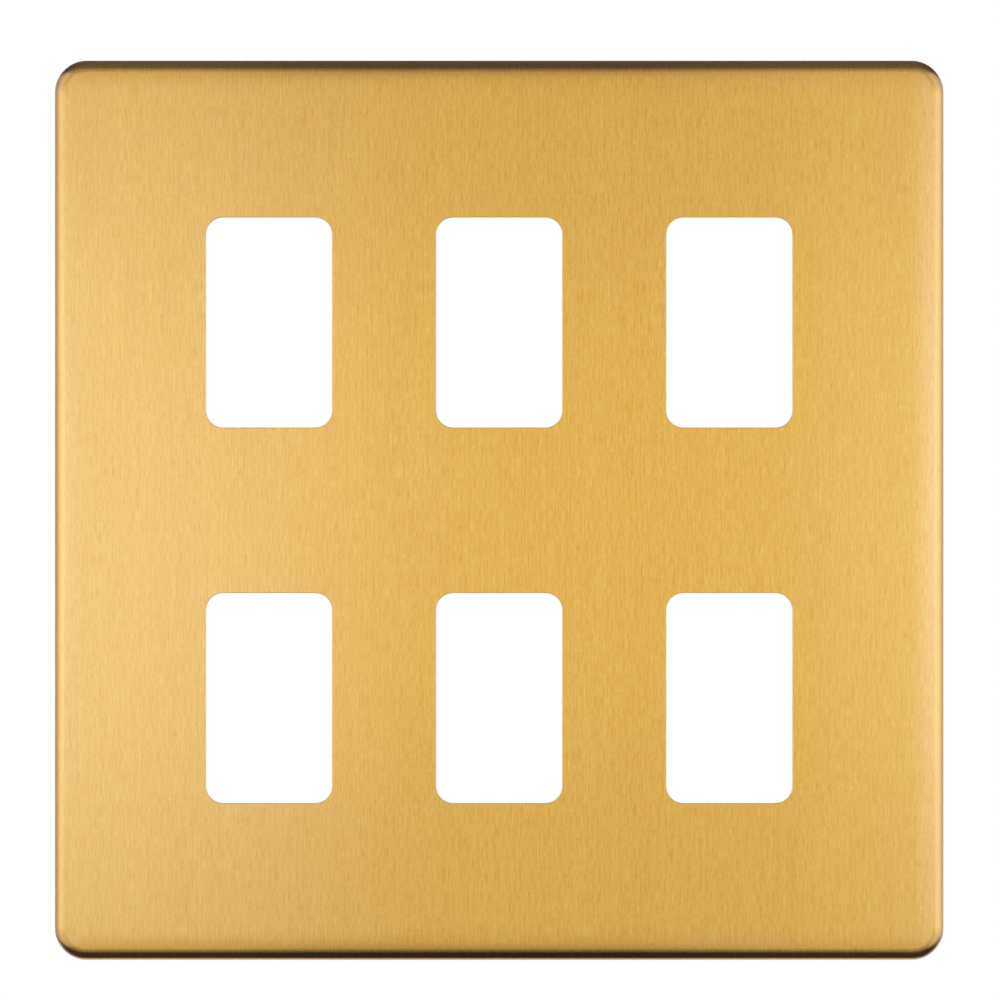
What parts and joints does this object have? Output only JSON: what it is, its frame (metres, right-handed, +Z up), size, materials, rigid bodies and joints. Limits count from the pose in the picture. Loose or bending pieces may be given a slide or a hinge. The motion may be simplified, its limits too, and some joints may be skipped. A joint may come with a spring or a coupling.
{
  "type": "grid switch plate",
  "caption": "Screwless brushed brass cover plate with windows for grid switch modules, on a moulded clip frame and a steel yoke with fixing screws and an earth terminal.",
  "frame": {"origin": "centre of the four fixing screws, on the wall plane that the rim and the yoke's ears bear on", "axes": "+Y into the wall, +Z up the wall, +X to the right as seen from the room; the brass face looks along -Y"},
  "size_m": [0.147, 0.0283, 0.1488],
  "materials": {
    "brushed_brass": "brushed, lacquered",
    "black_moulding": "fine matt moulding",
    "zinc_plated_sheet": "bright zinc plate",
    "zinc_plated_screw": "bright zinc plate",
    "turned_brass": "as machined",
    "spring_bronze": "rolled strip"
  },
  "bodies": {
    "root": {"cover_plate": "brushed_brass", "clip_frame": "black_moulding", "grid_yoke": "zinc_plated_sheet", "fixing_screw_upper_left": "zinc_plated_screw", "fixing_screw_upper_right": "zinc_plated_screw", "fixing_screw_lower_left": "zinc_plated_screw", "fixing_screw_lower_right": "zinc_plated_screw", "earth_terminal": "turned_brass", "earth_screw": "zinc_plated_screw", "earth_leaf": "spring_bronze"}
  },
  "joints": []
}
